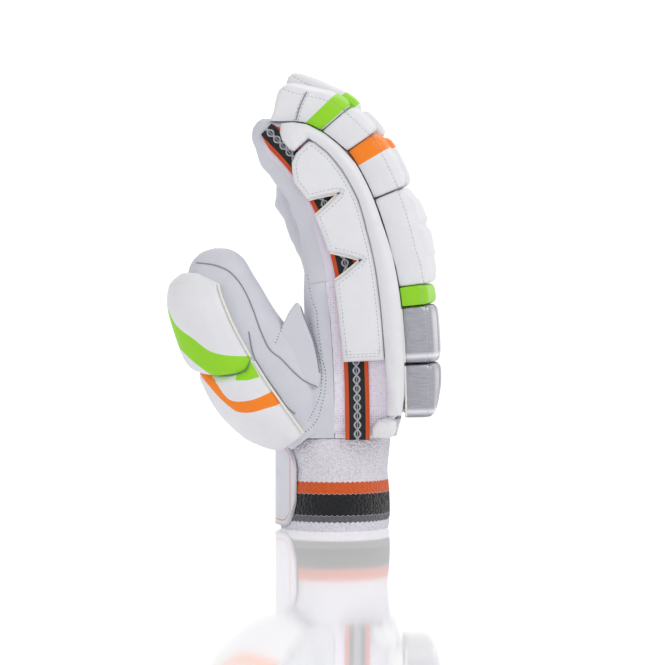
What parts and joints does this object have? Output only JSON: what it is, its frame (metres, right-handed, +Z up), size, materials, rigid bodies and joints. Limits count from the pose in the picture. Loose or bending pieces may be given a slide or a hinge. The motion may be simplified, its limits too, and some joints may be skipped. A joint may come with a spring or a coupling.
{
  "type": "cricket batting glove",
  "caption": "Right-hand cricket batting glove standing on its knit cuff, with pillow pads on fingers and back, a guarded thumb, notched side bar and open hollow stalls.",
  "frame": {"origin": "middle of the bounding box, on the surface that the cuff's rim stands on", "axes": "+Z up from the cuff to the fingertips, +X out of the padded back of the hand, -X out of the palm, -Y toward the thumb and index finger side"},
  "size_m": [0.1642, 0.1228, 0.2744],
  "materials": {
    "white_padding": "coated fabric over foam, smooth leather grain, satin",
    "strap_leather": "coated fabric strap, satin",
    "palm_leather": "soft pale grey-white leather, matt",
    "spacer_mesh": "fine knitted mesh, matt",
    "woven_tape": "woven tape, black with red-orange edges and a silver chain",
    "silver_padding": "metallic silver coated fabric over foam, satin",
    "green_padding": "bright green coated fabric over foam, satin",
    "terry_knit": "thick terry knit, white with red-orange, black and grey bands"
  },
  "bodies": {
    "root": {"knit_cuff": "terry_knit", "wrist_strap": "strap_leather", "palm_leather": "palm_leather", "back_panel": "white_padding", "index_gusset": "spacer_mesh", "little_gusset": "spacer_mesh", "index_stall": "palm_leather", "index_lower_block": "silver_padding", "index_upper_block": "silver_padding", "index_low_pad": "white_padding", "index_mid_pad": "white_padding", "index_tip_pad": "white_padding", "middle_stall": "palm_leather", "middle_lower_block": "silver_padding", "middle_upper_block": "silver_padding", "middle_low_pad": "white_padding", "middle_mid_pad": "white_padding", "middle_tip_pad": "white_padding", "ring_stall": "palm_leather", "ring_lower_block": "silver_padding", "ring_upper_block": "silver_padding", "ring_low_pad": "white_padding", "ring_mid_pad": "white_padding", "ring_tip_pad": "white_padding", "little_stall": "palm_leather", "little_lower_block": "silver_padding", "little_upper_block": "silver_padding", "little_base_pad": "white_padding", "little_end_pad": "white_padding", "knuckle_pad": "white_padding", "knuckle_band": "green_padding", "wrist_roll": "white_padding", "wrist_tab": "white_padding", "index_tape": "woven_tape", "little_tape": "woven_tape", "index_side_bar": "white_padding", "little_side_bar": "white_padding", "index_side_roll": "white_padding", "little_side_roll": "white_padding", "thumb_leather": "palm_leather", "thumb_web": "palm_leather", "thumb_guard_upper": "white_padding", "thumb_guard_lower": "white_padding"}
  },
  "joints": []
}
